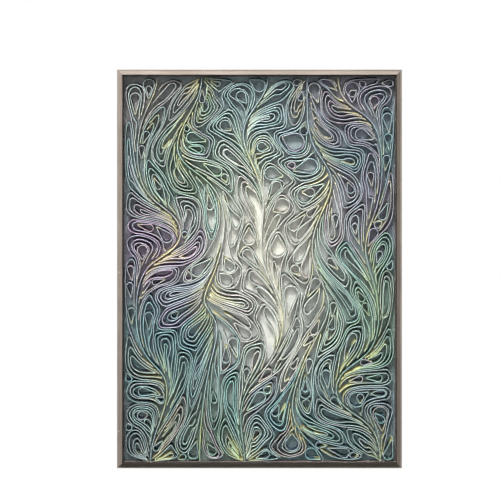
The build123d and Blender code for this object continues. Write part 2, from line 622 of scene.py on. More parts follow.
    def petal(self, tip: float, head: float, across: float, half: float) -> np.ndarray:
        """Middle line of a drop that leaves the cell's middle at its tip and leans out to its head.

        Args:
            tip: Place along the cell where the drop starts.
            head: Place where its head ends.
            across: Share of the way across on which the head lies.
            half: Half of the drop's width, as a share of the cell's.

        Returns:
            Points on the panel, from the tip round the head and back.
        """
        opening = 0.14
        turn = np.linspace(opening, 2 * np.pi - opening, 34)
        along = (1 - np.cos(turn)) / 2
        lean = 0.5 + (across - 0.5) * np.sin(along * np.pi / 2)
        swell = 1.43 * np.sin(turn) * np.sin(turn / 2) ** 1.2
        return self.point(tip + (head - tip) * along, lean + half * swell)

    def head_end(self, first: float, last: float, across: float, outer: np.ndarray, room: float) -> float:
        """Furthest place along a line of the cell that keeps clear of an outer loop.

        Args:
            first: Place to start from.
            last: Place not to pass.
            across: Share of the way across on which the line runs.
            outer: Points of the outer loop.
            room: Distance to keep from it.

        Returns:
            Place along the cell.
        """
        places = np.linspace(first, last, 60)
        line = self.point(places, across)
        gaps = np.linalg.norm(line[:, None, :] - outer[None, :, :], axis=-1).min(axis=1)
        clear = places[gaps >= room]
        return float(clear[-1]) if len(clear) else first


@dataclass
class Strip:
    """One strip of paper on edge.

    Attributes:
        points: Middle line on the panel.
        tint: Colour of the sheet in linear light, for the whole strip or for each point.
        straw: Share of straw colour at each point.
    """

    points: np.ndarray
    tint: Colour | np.ndarray
    straw: np.ndarray


@dataclass(frozen=True)
class LoopRoom:
    """Inside of an outer loop, where curls stand.

    Attributes:
        group: Name of the piece that the curls belong to.
        cell: Cell of the loop.
        first: Place along the cell where the loop starts.
        last: Place where its head ends.
        outer: Middle line of the loop.
        tint: Colour of the loop.
        straw: Share of straw colour at the roots.
    """

    group: str
    cell: Cell
    first: float
    last: float
    outer: np.ndarray
    tint: Colour
    straw: float

    @property
    def places(self) -> np.ndarray:
        """Places along the loop at which its width is measured."""
        return np.linspace(self.first, self.last, 60)


@dataclass
class Clearance:
    """Map of how far each place of the field is from the nearest strip.

    Attributes:
        width: Width of the field.
        height: Height of the field.
        pixel: Size of the map's squares.
        spacing: Distance between the points by which a strip is noted.
        batch: Number of points that are noted at once.
        margin: Distance from a strip up to which the map is kept right.
    """

    width: float
    height: float
    pixel: float = 0.0014
    spacing: float = 0.002
    batch: int = 24
    margin: float = 0.05

    def __post_init__(self) -> None:
        """Start with the field's own edges."""
        self.columns = np.arange(-self.width / 2, self.width / 2, self.pixel) + self.pixel / 2
        self.rows = np.arange(-self.height / 2, self.height / 2, self.pixel) + self.pixel / 2
        from_side = self.width / 2 - np.abs(self.columns)
        from_end = self.height / 2 - np.abs(self.rows)
        self.room = np.minimum(from_side[None, :], from_end[:, None])

    def window(self, points: np.ndarray, margin: float) -> tuple[slice, slice]:
        """Squares around a row of points.

        Args:
            points: Points on the panel.
            margin: Distance to go beyond them.

        Returns:
            Rows and columns of the map.
        """
        low = points.min(axis=0) - margin
        high = points.max(axis=0) + margin
        first = np.searchsorted(self.columns, (low[0], high[0]))
        second = np.searchsorted(self.rows, (low[1], high[1]))
        return slice(second[0], second[1]), slice(first[0], first[1])

    def mark(self, points: np.ndarray) -> None:
        """Note a strip on the map.

        Args:
            points: Its middle line.
        """
        points = evened(points, self.spacing, 2)
        for part in np.array_split(points, max(1, len(points) // self.batch)):
            rows, columns = self.window(part, self.margin)
            x = self.columns[columns][None, :, None] - part[:, 0]
            z = self.rows[rows][:, None, None] - part[:, 1]
            gap = np.sqrt((x * x + z * z).min(axis=-1))
            self.room[rows, columns] = np.minimum(self.room[rows, columns], gap)

    def close(self, outline: np.ndarray) -> None:
        """Keep the inside of a loop free of further strips.

        Args:
            outline: Points round the loop.
        """
        rows, columns = self.window(outline, 0.0)
        x = self.columns[columns][None, :]
        z = self.rows[rows][:, None]
        inside = np.zeros((z.shape[0], x.shape[1]), bool)
        for start, end in zip(outline, np.roll(outline, -1, axis=0)):
            if start[1] == end[1]:
                continue
            crosses = (start[1] > z) != (end[1] > z)
            slope = (end[0] - start[0]) * (z - start[1]) / (end[1] - start[1])
            inside ^= crosses & (x < slope + start[0])
        self.room[rows, columns] = np.where(inside, 0.0, self.room[rows, columns])

    def at(self, points: np.ndarray) -> np.ndarray:
        """Distance from the nearest strip at points of the field.

        Args:
            points: Points on the panel.

        Returns:
            Distances in metres.
        """
        places = (points + np.array([self.width, self.height]) / 2) / self.pixel
        column = np.clip(places[..., 0].astype(int), 0, len(self.columns) - 1)
        row = np.clip(places[..., 1].astype(int), 0, len(self.rows) - 1)
        return self.room[row, column]

    def widest(self) -> tuple[np.ndarray, float]:
        """Middle of the widest gap and its distance from the strips."""
        row, column = np.unravel_index(np.argmax(self.room), self.room.shape)
        return np.array([self.columns[column], self.rows[row]]), float(self.room[row, column])


@dataclass(frozen=True)
class CurlSizes:
    """Sizes of the curls in the loops and of the drops between them, in metres.

    Attributes:
        shortest: Shortest strip that is worth standing inside a loop.
        tone_heart: Half width and half height of the middle where sheets are paler.
        open_heart: Half width and half height of the middle where loops stay open.
        loose_heart: Half width and half height of the middle where nests aren't bundled.
        loop_straw: Length of the straw colour at the roots of a loop.
        echo_width: Width from which a loop gets echoes of itself.
        nest_core: Room that a nest leaves free on each side of its middle.
        nest_overlap: Most that the sides of a loose nest may be pressed together.
        nest_straw: Shortest and longest straw colour in a nest.
        petal_gap: Gap between a petal and the loop round it.
        petal_width: Width from which a loop takes petals.
        petal_half: Most half width of the petal at the head.
        petal_reach: Distance back from its head at which the cell's width counts.
        petal_straw: Length of the straw colour on a petal.
        side_petal_gap: Gap between a petal at the side and the cell's middle.
        side_petal_half: Most half width of a petal at the side.
        side_petal_least: Least half width of a petal at the side.
        side_petal_reach: Distance back from its head at which the cell's width counts.
        side_petal_stagger: Most that a petal at the side is set back.
        twin_gap: Least gap between the head of a twin drop and the loop round it.
        twin_play: Most that a twin drop is set in from the loop's side.
        twin_stagger: Most that the head of a twin drop is set back.
        twin_room: Least width of a twin drop.
        twin_length: Most length of a twin drop.
        twin_straw: Length of the straw colour on a twin drop.
        ribbon_gap: Gap between a ribbon's ends and the edge of the field.
        ribbon_straw: Length of the straw colour on a ribbon.
        drop_gap: Gap between a drop and the strips round it.
        drop_least: Least radius of a drop.
        drop_most: Most radius of a drop.
        drop_small: Radius under which no drop stands in the open middle.
        drop_straw: Length of the straw colour on a drop.
        drop_tip: Length by which a drop's tip is cut.
    """

    shortest: float = 0.034
    tone_heart: tuple[float, float] = (0.15, 0.22)
    open_heart: tuple[float, float] = (0.11, 0.19)
    loose_heart: tuple[float, float] = (0.12, 0.2)
    loop_straw: float = 0.035
    echo_width: float = 0.03
    nest_core: float = 0.0092
    nest_overlap: float = 0.006
    nest_straw: tuple[float, float] = (0.02, 0.06)
    petal_gap: float = 0.0006
    petal_width: float = 0.02
    petal_half: float = 0.0095
    petal_reach: float = 0.01
    petal_straw: float = 0.016
    side_petal_gap: float = 0.0012
    side_petal_half: float = 0.009
    side_petal_least: float = 0.0032
    side_petal_reach: float = 0.007
    side_petal_stagger: float = 0.009
    twin_gap: float = 0.0009
    twin_play: float = 0.0012
    twin_stagger: float = 0.01
    twin_room: float = 0.004
    twin_length: float = 0.055
    twin_straw: float = 0.022
    ribbon_gap: float = 0.003
    ribbon_straw: float = 0.05
    drop_gap: float = 0.0009
    drop_least: float = 0.0048
    drop_most: float = 0.016
    drop_small: float = 0.007
    drop_straw: float = 0.012
    drop_tip: float = 0.001


@dataclass
class Pattern:
    """All strips of the panel, grouped by the piece that they belong to.

    Attributes:
        layout: Rules of the pattern.
        curls: Sizes of the curls and drops.
        seed: Start of the chance values.
        depth: Share of a paper's tone that the sides of its strips keep; the loss is partly painted shade for
            the gaps between strips.
        heart_depth: What the pale middle adds to that share.
        purity: How much purer the sides' colour is than the paper's.
        groups: Strips by the name of their piece.
    """

    layout: PaperLayout
    curls: CurlSizes = CurlSizes()
    seed: int = 7
    depth: float = 0.172
    heart_depth: float = 0.14
    purity: float = 1.5
    groups: dict[str, list[Strip]] = field(default_factory=dict)

    def __post_init__(self) -> None:
        """Start the pattern's own row of chance values and its map of gaps."""
        self.chance = random.Random(self.seed)
        self.clearance = Clearance(self.layout.field_width, self.layout.field_height)
        self.near: list[np.ndarray] = []

    @staticmethod
    def heart(place: np.ndarray, size: tuple[float, float]) -> float:
        """Nearness to the pale middle of the panel, from 0 to 1."""
        return math.exp(-((place[0] / size[0]) ** 2) - (place[1] / size[1]) ** 2)

    @staticmethod
    def ground(place: np.ndarray) -> np.ndarray:
        """Leading paper colour at a place on the panel.

        Args:
            place: Point on the panel.

        Returns:
            Red, green and blue in linear light.
        """
        colour = np.array(Paper.SLATE.light[:3])
        for area in FIELDS:
            share = area.weight(place[0], place[1])
            colour = colour + (np.array(area.paper.light[:3]) - colour) * share
        return colour

    def side_colour_with_shade(self, colour: np.ndarray, place: np.ndarray) -> Colour:
        """Darker and purer colour of a sheet's sides, partly painted shade for the gaps between strips, less
        so near the pale middle.

        Args:
            colour: Colour of the paper.
            place: Point on the panel.

        Returns:
            Colour in linear light.
        """
        darkest = 0.015
        # Partly painted shade: the sides keep only a small share of the paper's tone.
        colour = colour * (self.depth + self.heart_depth * self.heart(place, self.curls.tone_heart))
        colour = np.maximum(colour.mean() + (colour - colour.mean()) * self.purity, darkest)
        return float(colour[0]), float(colour[1]), float(colour[2]), 1.0

    def tint(self, middle: np.ndarray) -> Colour:
        """Choose a paper colour for a place on the panel.

        Args:
            middle: Middle of the strip or loop.

        Returns:
            Linear colour, a little different each time.
        """
        colour = self.ground(middle)
        others = (Paper.TEAL, Paper.GREEN, Paper.SLATE, Paper.MAUVE, Paper.TAUPE, Paper.PALE_BLUE)
        other = self.chance.choice(others)
        colour = colour + (np.array(other.light[:3]) - colour) * self.chance.uniform(0, 0.45)
        return self.side_colour_with_shade(colour * self.chance.uniform(0.82, 1.15), middle)

    def shaded(self, tint: Colour) -> Colour:
        """Nearly the same colour, as the next strip cut from like paper has."""
        shade = self.chance.uniform(0.88, 1.12)
        return tint[0] * shade, tint[1] * shade, tint[2] * shade, 1.0

    def along_fields(self, points: np.ndarray) -> np.ndarray:
        """Colours of a long strip that follows the colour fields."""
        return np.array([self.side_colour_with_shade(self.ground(point), point) for point in points])

    def add(
        self, group: str, points: np.ndarray, tint: Colour | np.ndarray, straw_length: float, straw: float
    ) -> None:
        """Add a strip to a piece.

        Args:
            group: Name of the piece.
            points: Middle line.
            tint: Colour of the sheet.
            straw_length: Distance from the ends over which straw colour fades out.
            straw: Share of straw colour at the ends.
        """
        place = distances(points)
        from_end = np.minimum(place, place[-1] - place)
        fade = straw * np.clip(1 - from_end / straw_length, 0, 1)
        self.groups.setdefault(group, []).append(Strip(points, tint, fade))
        self.clearance.mark(points)

    def add_inner(self, room: LoopRoom, points: np.ndarray, tint: Colour, straw_length: float) -> None:
        """Add a strip inside a loop, cut where it would cross the strips that stand there.

        Args:
            room: Inside of the loop.
            points: Middle line.
            tint: Colour of the sheet.
            straw_length: Distance from the ends over which straw colour fades out.
        """
        points = uncrossed(points, self.near)
        if distances(points)[-1] > self.curls.shortest:
            self.near.append(points)
            self.add(room.group, points, tint, straw_length, room.straw)

    def draw(self) -> None:
        """Lay out every loop, stem, ribbon and drop."""
        for feather in range(self.layout.feather_count):
            self.draw_stem(feather)
            for side in (-1, 1):
                for index in self.layout.loop_indexes:
                    self.draw_cell(Cell(self.layout, feather, side, index))
        for feather in range(self.layout.feather_count - 1):
            self.draw_ribbon(feather)
        self.draw_drops()

    def draw_stem(self, feather: int) -> None:
        """Lay out the stem of one feather, with straw colour in waves along it.

        Args:
            feather: Number of the feather, from 0.
        """
        heights = np.linspace(0, self.layout.field_height, 121)
        points = self.layout.drifted(np.full_like(heights, self.layout.stem(feather)), heights)
        height = points[:, 1]
        wave = np.sin(height * 21 + feather * 1.9) * 0.6 + np.sin(height * 47 + feather * 2.7) * 0.5
        straw = np.clip(0.1 + wave * 0.9, 0, 1)
        strip = Strip(points, self.along_fields(points), straw)
        self.groups.setdefault(f"feather_{feather + 1}_stem", []).append(strip)
        self.clearance.mark(points)

    def draw_cell(self, cell: Cell) -> None:
        """Lay out the loop of one cell with what stands inside it.

        Args:
            cell: Room for the loop.
        """
        sizes = self.layout
        ends = cell.stretch(sizes.root_width)
        if ends is None:
            return
        first, last = ends
        outer = cell.loop(first, last, Bound(0.0, sizes.strip_inset), Bound(1.0, -sizes.strip_inset))
        following = np.roll(outer, -1, axis=0)
        area = abs(np.sum(outer[:, 0] * following[:, 1] - following[:, 0] * outer[:, 1])) / 2
        if area / sizes.loop_pitch / sizes.reach < sizes.small_loop_share:
            return
        middle = outer.mean(axis=0)
        tint = self.tint(middle)
        straw = self.chance.uniform(0.1, 1.0)
        side = f"feather_{cell.feather + 1}_{'left' if cell.side < 0 else 'right'}"
        zone = sizes.zones[int((middle[1] / sizes.field_height + 0.5) * len(sizes.zones))]
        self.add(f"{side}_{zone}", outer, tint, self.curls.loop_straw, straw)
        self.near = [outer]
        self.fill(LoopRoom(f"{side}_inner", cell, first, last, outer, tint, straw))

    def fill(self, room: LoopRoom) -> None:
        """Choose what stands inside a loop and lay it out.

        Args:
            room: Inside of the loop.
        """
        heart = self.heart(room.outer.mean(axis=0), self.curls.open_heart)
        weights = (3 + 8 * heart, 3 - 2 * heart, 6 * (1 - heart))
        filling = self.chance.choices(list(Filling), weights=weights)[0]
        if filling is Filling.NEST:
            self.draw_nest(room)
            return
        narrow = room.cell.width(room.places).max() < self.curls.echo_width
        echoes = 0 if narrow or heart > 0.45 else self.chance.choice((1, 1, 2))
        inset = self.draw_nest(room, echoes)
        if filling is Filling.TWIN:
            for lower in (True, False):
                self.draw_twin(room, lower, inset)
        else:
            self.draw_petals(room, inset)

    def draw_petals(self, room: LoopRoom, inset: float) -> None:
        """Lay out a drop at the head of a loop and one on each side behind it.

        Args:
            room: Inside of the loop.
            inset: Distance from the cell's edge to the loop round the drops.
        """
        cell, curls = room.cell, self.curls
        edge = inset + self.layout.strip_thickness + curls.petal_gap
        end = cell.back_from(room.last, edge)
        width = cell.width_at(cell.back_from(end, curls.petal_reach))
        half = min(curls.petal_half, width / 2 - edge)
        tip = cell.back_from(end, 5 * half)
        if tip < room.first or width < curls.petal_width:
            self.draw_nest(room)
            return
        petal = cell.petal(tip, end, 0.5, half / width)
        self.add_inner(room, petal, self.shaded(room.tint), curls.petal_straw)
        for side in (-1, 1):
            setback = self.chance.uniform(0.0, curls.side_petal_stagger)
            end = cell.back_from(room.last, edge + 1.75 * half + setback)
            width = cell.width_at(cell.back_from(end, curls.side_petal_reach))
            lean = min(curls.side_petal_half, (width / 2 - edge - curls.side_petal_gap) / 2)
            tip = cell.back_from(end, 5.5 * lean)
            if tip > room.first and lean > curls.side_petal_least:
                across = 0.5 + side * (width / 2 - edge - lean) / width
                petal = cell.petal(tip, end, across, lean / width)
                self.add_inner(room, petal, self.shaded(room.tint), curls.petal_straw)

    def draw_nest(self, room: LoopRoom, most: int = 9) -> float:
        """Lay out loops inside a loop, closer on one side than on the other.

        Args:
            room: Inside of the outer loop.
            most: Most loops to lay out. One or two echo the outer loop evenly.

        Returns:
            Distance from the cell's edge to the innermost loop.
        """
        sizes, curls, cell = self.layout, self.curls, room.cell
        echo = most <= 2
        places = room.places
        widths = cell.width(places)
        pitch = sizes.strip_thickness + sizes.nest_gap
        spacing = sizes.nest_spacing * self.chance.uniform(0.85, 1.2)
        skew = 0.0 if echo else self.chance.uniform(-0.4, 0.4)
        levels = min(most, int((widths.max() / 2 - sizes.strip_inset - curls.nest_core) / spacing))
        bundle = self.chance.random() < 0.6 * (1 - self.heart(cell.point(0.7, 0.5), curls.loose_heart))
        end = room.last
        below = above = sizes.strip_inset
        for level in range(1, levels + 1):
            below += spacing * (1 + skew) * self.chance.uniform(0.7, 1.3)
            above += spacing * (1 - skew) * self.chance.uniform(0.7, 1.3)
            least = 2 * pitch * (1 + levels - level)
            fits = widths >= least + 2 * (level * pitch + sizes.strip_inset)
            if not bundle:
                fits &= widths - below - above >= -curls.nest_overlap
            end = cell.back_from(end, spacing * (1.0 if echo else self.chance.uniform(0.9, 1.7)))
            wide = places[fits & (places < end)]
            if not len(wide) or end - wide[0] < 0.2:
                continue
            points = cell.loop(wide[0], end, Bound(0.0, below), Bound(1.0, -above), least)
            tint = self.shaded(room.tint)
            self.add_inner(room, smoothed(points), tint, self.chance.uniform(*curls.nest_straw))
        return max(below, above)

    def draw_twin(self, room: LoopRoom, lower: bool, inset: float) -> None:
        """Lay out a drop in one half of a loop.

        Args:
            room: Inside of the loop.
            lower: True for the side nearer the stem's root.
            inset: Distance from the cell's edge to the loop round the drops.
        """
        curls, cell = self.curls, room.cell
        pitch = self.layout.strip_thickness + self.layout.nest_gap
        edge = inset + pitch + self.chance.uniform(0.0, curls.twin_play)
        across = 0.25 if lower else 0.75
        tint = self.tint(cell.point(0.7, across))
        setback = self.chance.uniform(0, curls.twin_stagger)
        end = cell.head_end(room.first, room.last, across, room.outer, curls.twin_gap + inset + setback)
        if lower:
            low, high = Bound(0.0, edge), Bound(0.5, -pitch / 2)
        else:
            low, high = Bound(0.5, pitch / 2), Bound(1.0, -edge)
        places = room.places
        free = cell.width(places) / 2 - edge - pitch / 2
        wide = places[(free >= pitch) & (places < end - 0.15)]
        if len(wide) and free[places <= end].max() > curls.twin_room:
            start = max(wide[0], cell.back_from(end, curls.twin_length))
            points = smoothed(cell.loop(start, end, low, high, pitch))
            self.add_inner(room, points, self.shaded(tint), curls.twin_straw)

    def draw_ribbon(self, feather: int) -> None:
        """Lay out the wavy ribbon between the heads of two feathers.

        Args:
            feather: Number of the feather on the left, from 0.
        """
        lines = []
        gap = self.curls.ribbon_gap
        across = np.linspace(0, 1, 20, endpoint=False)
        heads = np.ones_like(across)
        for index in self.layout.loop_indexes:
            cell = Cell(self.layout, feather, 1, index)
            height = cell.height(heads, across)
            inside = (height > gap) & (height < self.layout.field_height - gap)
            if inside.any():
                lines.append(cell.point(heads, across)[inside])
        points = np.concatenate(lines)
        self.add(f"ribbon_{feather + 1}", points, self.along_fields(points), self.curls.ribbon_straw, 0.3)

    def draw_drops(self) -> None:
        """Fill the gaps that are left with drops, the widest gap first."""
        curls = self.curls
        margin = self.layout.strip_thickness + curls.drop_gap
        square = np.array([(-1, -1), (1, -1), (1, 1), (-1, 1)])
        for _ in range(400):
            middle, room = self.clearance.widest()
            radius = min(room - margin, curls.drop_most)
            if radius < curls.drop_least:
                break
            small = radius < curls.drop_small and self.heart(middle, curls.open_heart) > 0.4
            points = None if small else self.drop(middle, radius, margin)
            if points is None:
                self.clearance.close(middle + radius * square)
                continue
            name = f"drops_{'low' if middle[1] < 0 else 'high'}_{'left' if middle[0] < 0 else 'right'}"
            self.add(name, points, self.tint(middle), curls.drop_straw, self.chance.uniform(0, 0.6))
            self.clearance.mark(middle[None, :].repeat(2, axis=0))
            if self.chance.random() < 0.6:
                self.clearance.close(points)

    def drop(self, middle: np.ndarray, radius: float, margin: float) -> np.ndarray | None:
        """Outline of a drop whose tail points where there is most room.

        Args:
            middle: Middle of its round head.
            radius: Radius of the head.
            margin: Distance to keep from other strips.

        Returns:
            Points of its middle line, from tip to tip, or None where no tail fits.
        """
        best = (0.0, 0.0)
        for turn in np.arange(0, 2 * np.pi, np.pi / 24):
            way = np.array([math.cos(turn), math.sin(turn)])
            for reach in (1.6, 2.0, 2.5, 3.0, 3.6):
                place = np.linspace(0, reach * radius, 24)
                room = self.clearance.at(middle + place[:, None] * way)
                if (room < margin + radius * (1 - place / (reach * radius)) * 0.95).any():
                    break
                if reach > best[0] + self.chance.uniform(-0.2, 0.2):
                    best = (reach, float(turn))
        reach, turn = best
        if reach == 0:
            return None
        lean = math.acos(1 / reach)
        around = np.linspace(lean, 2 * np.pi - lean, 28)
        head = middle + radius * np.stack([np.cos(turn + around), np.sin(turn + around)], axis=-1)
        way = np.array([math.cos(turn), math.sin(turn)])
        square = np.array([-way[1], way[0]])
        half = self.layout.strip_thickness * 0.55
        tip = middle + (reach * radius - self.curls.drop_tip) * way
        runs = 8
        shares = np.linspace(0, 1, runs, endpoint=False)[:, None]
        out = (tip + half * square) * (1 - shares) + head[0] * shares
        shares = shares + 1 / runs
        back = head[-1] * (1 - shares) + (tip - half * square) * shares
        return np.concatenate([out, head, back])


@dataclass(frozen=True)
class NodeHelp:
    """Adds nodes to a tree and joins them."""

    tree: bpy.types.NodeTree

    def add(self, kind: str, settings: dict | None = None, **values: object) -> bpy.types.Node:
        """Add a node.

        Args:
            kind: Node type.
            settings: Properties of the node.
            values: Input values or sockets, by input name with spaces as underscores.

        Returns:
            The node.
        """
        node = self.tree.nodes.new(kind)
        for name, value in (settings or {}).items():
            setattr(node, name, value)
        for name, value in values.items():
            self.feed(node.inputs[name.replace("_", " ")], value)
        return node

    def feed(self, socket: bpy.types.NodeSocket, value: object) -> None:
        """Join a socket to an input, or set the input's own value.

        Args:
            socket: Input to feed.
            value: Socket to join to it, or its value.
        """
        if isinstance(value, bpy.types.NodeSocket):
            self.tree.links.new(value, socket)
        else:
            socket.default_value = value

    def math(self, operation: str, first: object, second: object = 0.0) -> bpy.types.NodeSocket:
        """Add a Math node.

        Args:
            operation: Its operation.
            first: First value or socket.
            second: Second value or socket.

        Returns:
            Its result.
        """
        node = self.add("ShaderNodeMath", {"operation": operation})
        self.feed(node.inputs[0], first)
        self.feed(node.inputs[1], second)
        return node.outputs[0]

    def vector(self, operation: str, *values: object) -> bpy.types.Node:
        """Add a Vector Math node.

        Args:
            operation: Its operation.
            values: Its inputs, in order.

        Returns:
            The node.
        """
        node = self.add("ShaderNodeVectorMath", {"operation": operation})
        for socket, value in zip(node.inputs, values):
            self.feed(socket, value)
        return node

    def mix(self, share: object, first: object, second: object, blend: str = "MIX") -> bpy.types.NodeSocket:
        """Add a colour Mix node.

        Args:
            share: Share of the second colour.
            first: First colour.
            second: Second colour.
            blend: Way of mixing.

        Returns:
            The mixed colour.
        """
        node = self.add("ShaderNodeMix", {"data_type": "RGBA", "blend_type": blend})
        self.feed(node.inputs[0], share)
        self.feed(node.inputs[6], first)
        self.feed(node.inputs[7], second)
        return node.outputs[2]

    def ramp(
        self, value: object, low: float, high: float, start: float = 0.0, end: float = 1.0
    ) -> bpy.types.NodeSocket:
        """Add a smooth Map Range node.

        Args:
            value: Value or socket to map.
            low: Value at which the ramp starts.
            high: Value at which it ends.
            start: Result at the low value.
            end: Result at the high value.

        Returns:
            The mapped value.
        """
        node = self.add("ShaderNodeMapRange", {"interpolation_type": "SMOOTHSTEP"})
        for socket, given in zip(node.inputs, (value, low, high, start, end)):
            self.feed(socket, given)
        return node.outputs[0]

    def place(self) -> bpy.types.NodeSocket:
        """Object coordinates of a material."""
        return self.add("ShaderNodeTexCoord").outputs["Object"]

    def attribute(self, name: str, output: str = "Fac") -> bpy.types.NodeSocket:
        """Attribute of the mesh, as a value or a colour."""
        return self.add("ShaderNodeAttribute", {"attribute_name": name}).outputs[output]

    def bump(
        self, shader: bpy.types.Node, height: bpy.types.NodeSocket, strength: float, distance: float
    ) -> None:
        """Give a shader fine relief.

        Args:
            shader: Main shader of the material.
            height: Height of the relief, from 0 to 1.
            strength: Strength of the effect.
            distance: Height that 1 stands for, in metres.
        """
        bump = self.add("ShaderNodeBump", Strength=strength, Distance=distance, Height=height)
        self.feed(shader.inputs["Normal"], bump.outputs[0])


class SharedGroups:
    """Shader node groups that more than one finish uses."""

    def __init__(self) -> None:
        """Build the groups."""
        self.mottle = self.build_mottle()
        self.fields = self.build_fields()

    @staticmethod
    def start(
        name: str, inputs: dict[str, tuple[str, object]], outputs: dict[str, str]
    ) -> bpy.types.NodeTree:
        """Make an empty group with named sockets.

        Args:
            name: Name of the group.
            inputs: Socket type and default by input name.
            outputs: Socket type by output name.

        Returns:
            The group.
        """
        tree = bpy.data.node_groups.new(name, "ShaderNodeTree")
        for label, (kind, value) in inputs.items():
            socket = tree.interface.new_socket(label, in_out="INPUT", socket_type=kind)
            if value is not None:
                socket.default_value = value
        for label, kind in outputs.items():
            tree.interface.new_socket(label, in_out="OUTPUT", socket_type=kind)
        return tree

    def build_mottle(self) -> bpy.types.NodeTree:
        """Uneven tone and fine fibres, stretched along any axis.

        Returns:
            Group with a tone from 0 to 1 and a fibre height.
        """
        tree = self.start(
            "Mottle and fibres",
            {
                "Place": ("NodeSocketVector", None),
                "Cloud Scale": ("NodeSocketFloat", 30.0),
                "Fibre Scale": ("NodeSocketFloat", 900.0),
            },
            {"Tone": "NodeSocketFloat", "Fibre": "NodeSocketFloat"},
        )
        help_ = NodeHelp(tree)
        given = help_.add("NodeGroupInput")
        cloud = help_.add(
            "ShaderNodeTexNoise",
            Vector=given.outputs["Place"],
            Scale=given.outputs["Cloud Scale"],
            Detail=3.0,
            Roughness=0.55,
        )
        fibre = help_.add(
            "ShaderNodeTexNoise",
            Vector=given.outputs["Place"],
            Scale=given.outputs["Fibre Scale"],
            Detail=2.0,
            Roughness=0.6,
        )
        result = help_.add("NodeGroupOutput")
        help_.feed(result.inputs["Tone"], help_.ramp(cloud.outputs[0], 0.3, 0.7))
        help_.feed(result.inputs["Fibre"], fibre.outputs[0])
        return tree

    def build_fields(self) -> bpy.types.NodeTree:
        """Soft areas of paper colour over the panel, with wavy edges.

        Returns:
            Group with the colour at each place.
        """
        wander = 0.08
        board_front = -0.012
        tree = self.start(
            "Colour fields", {"Place": ("NodeSocketVector", None)}, {"Color": "NodeSocketColor"}
        )
        help_ = NodeHelp(tree)
        given = help_.add("NodeGroupInput").outputs["Place"]
        warp = help_.add("ShaderNodeTexNoise", Vector=given, Scale=9.0, Detail=2.0)
        moved = help_.vector("MULTIPLY_ADD", warp.outputs["Color"], (wander, 0.0, wander), given)
        colour: object = Paper.SLATE.light
        for area in FIELDS:
            middle = (area.x + wander / 2, board_front, area.z + wander / 2)
            away = help_.vector("DISTANCE", moved.outputs[0], middle).outputs["Value"]
            share = help_.ramp(away, 0.0, area.radius, area.strength, 0.0)
            colour = help_.mix(share, colour, area.paper.light)
        result = help_.add("NodeGroupOutput")
        help_.feed(result.inputs["Color"], colour)
        return tree

    @staticmethod
    def place(help_: NodeHelp, group: bpy.types.NodeTree, **values: object) -> bpy.types.Node:
        """Put a group into a material, with its input values or sockets by name."""
        return help_.add("ShaderNodeGroup", {"node_tree": group}, **values)


def fresh_material(name: str) -> tuple[bpy.types.Material, NodeHelp, bpy.types.Node]:
    """Start a node material.

    Args:
        name: Name of the material.

    Returns:
        The material, a helper for its tree and its main shader.
    """
    material = bpy.data.materials.new(name)
    material.use_nodes = True
    tree = material.node_tree
    tree.nodes.clear()
    help_ = NodeHelp(tree)
    shader = help_.add("ShaderNodeBsdfPrincipled")
    output = help_.add("ShaderNodeOutputMaterial")
    tree.links.new(shader.outputs[0], output.inputs["Surface"])
    return material, help_, shader


@dataclass(frozen=True)
class PaperFinish:
    """Tinted sheet, paler on its cut edges, with straw tips at the roots. The pale front edges are partly the
    paper's pale core and partly painted highlight.

    Attributes:
        roughness: Mean roughness.
        sheet_straw: Share of the straw colour that shows on a sheet's sides.
        cloud: Colour of the darker clouds in a sheet.
        edge_share: Share of plain paper on a cut edge.
        edge_purity: Purity of the sheet's own colour on a cut edge.
        edge_lift: Brightness of the sheet's own colour on a cut edge, partly painted highlight.
        edge_limit: Palest that this colour gets.
        warm_edge: Plain paper of some strips.
        cool_edge: Plain paper of the others.
        straw_edge: Plain paper near the roots.
    """

    roughness: float = 0.82
    sheet_straw: float = 0.6
    cloud: Colour = (0.16, 0.18, 0.2, 1.0)
    edge_share: float = 0.46
    edge_purity: float = 1.45
    edge_lift: float = 5.7
    edge_limit: Colour = linear(198, 197, 184)
    warm_edge: Colour = linear(218, 206, 206)
    cool_edge: Colour = linear(200, 218, 208)
    straw_edge: Colour = linear(226, 218, 150)

    def build(self, groups: SharedGroups) -> bpy.types.Material:
        """Make the material.

        Args:
            groups: Shared node groups.

        Returns:
            The material.
        """
        material, help_, shader = fresh_material("Tinted paper")
        mottle = groups.place(
            help_, groups.mottle, Place=help_.place(), Cloud_Scale=45.0, Fibre_Scale=1400.0
        )
        tone, fibre = mottle.outputs["Tone"], mottle.outputs["Fibre"]
        # tint holds the sides' colour, already darkened as partly painted shade.
        tint = help_.attribute("tint", "Color")
        straw = help_.attribute("straw")
        sheet = help_.mix(help_.math("MULTIPLY", straw, self.sheet_straw), tint, Paper.STRAW.light)
        sheet = help_.mix(help_.ramp(tone, 0.0, 1.0, 0.0, 0.22), sheet, self.cloud, "MULTIPLY")
        plain = help_.mix(help_.ramp(help_.attribute("lot"), 0.2, 0.8), self.warm_edge, self.cool_edge)
        plain = help_.mix(straw, plain, self.straw_edge)
        # Front cut edges: the tint lifted and mixed with plain paper, partly the paper's pale core and partly
        # painted highlight.
        vivid = help_.add(
            "ShaderNodeHueSaturation", Saturation=self.edge_purity, Value=self.edge_lift, Color=tint
        )
        vivid = help_.mix(1.0, vivid.outputs[0], self.edge_limit, "DARKEN")
        cut = help_.mix(self.edge_share, vivid, plain)
        pale_mark = help_.math("MULTIPLY", help_.attribute("cut_edge"), help_.ramp(tone, 0.0, 1.0, 1.0, 0.85))
        flecks = help_.ramp(fibre, 0.35, 0.65, 0.94, 1.04)
        colour = help_.mix(1.0, help_.mix(pale_mark, sheet, cut), flecks, "MULTIPLY")
        help_.feed(shader.inputs["Base Color"], colour)
        rough = help_.ramp(tone, 0.0, 1.0, self.roughness - 0.06, self.roughness + 0.06)
        help_.feed(shader.inputs["Roughness"], rough)
        help_.bump(shader, fibre, strength=0.25, distance=0.0002)
        shader.inputs["Specular IOR Level"].default_value = 0.3
        return material


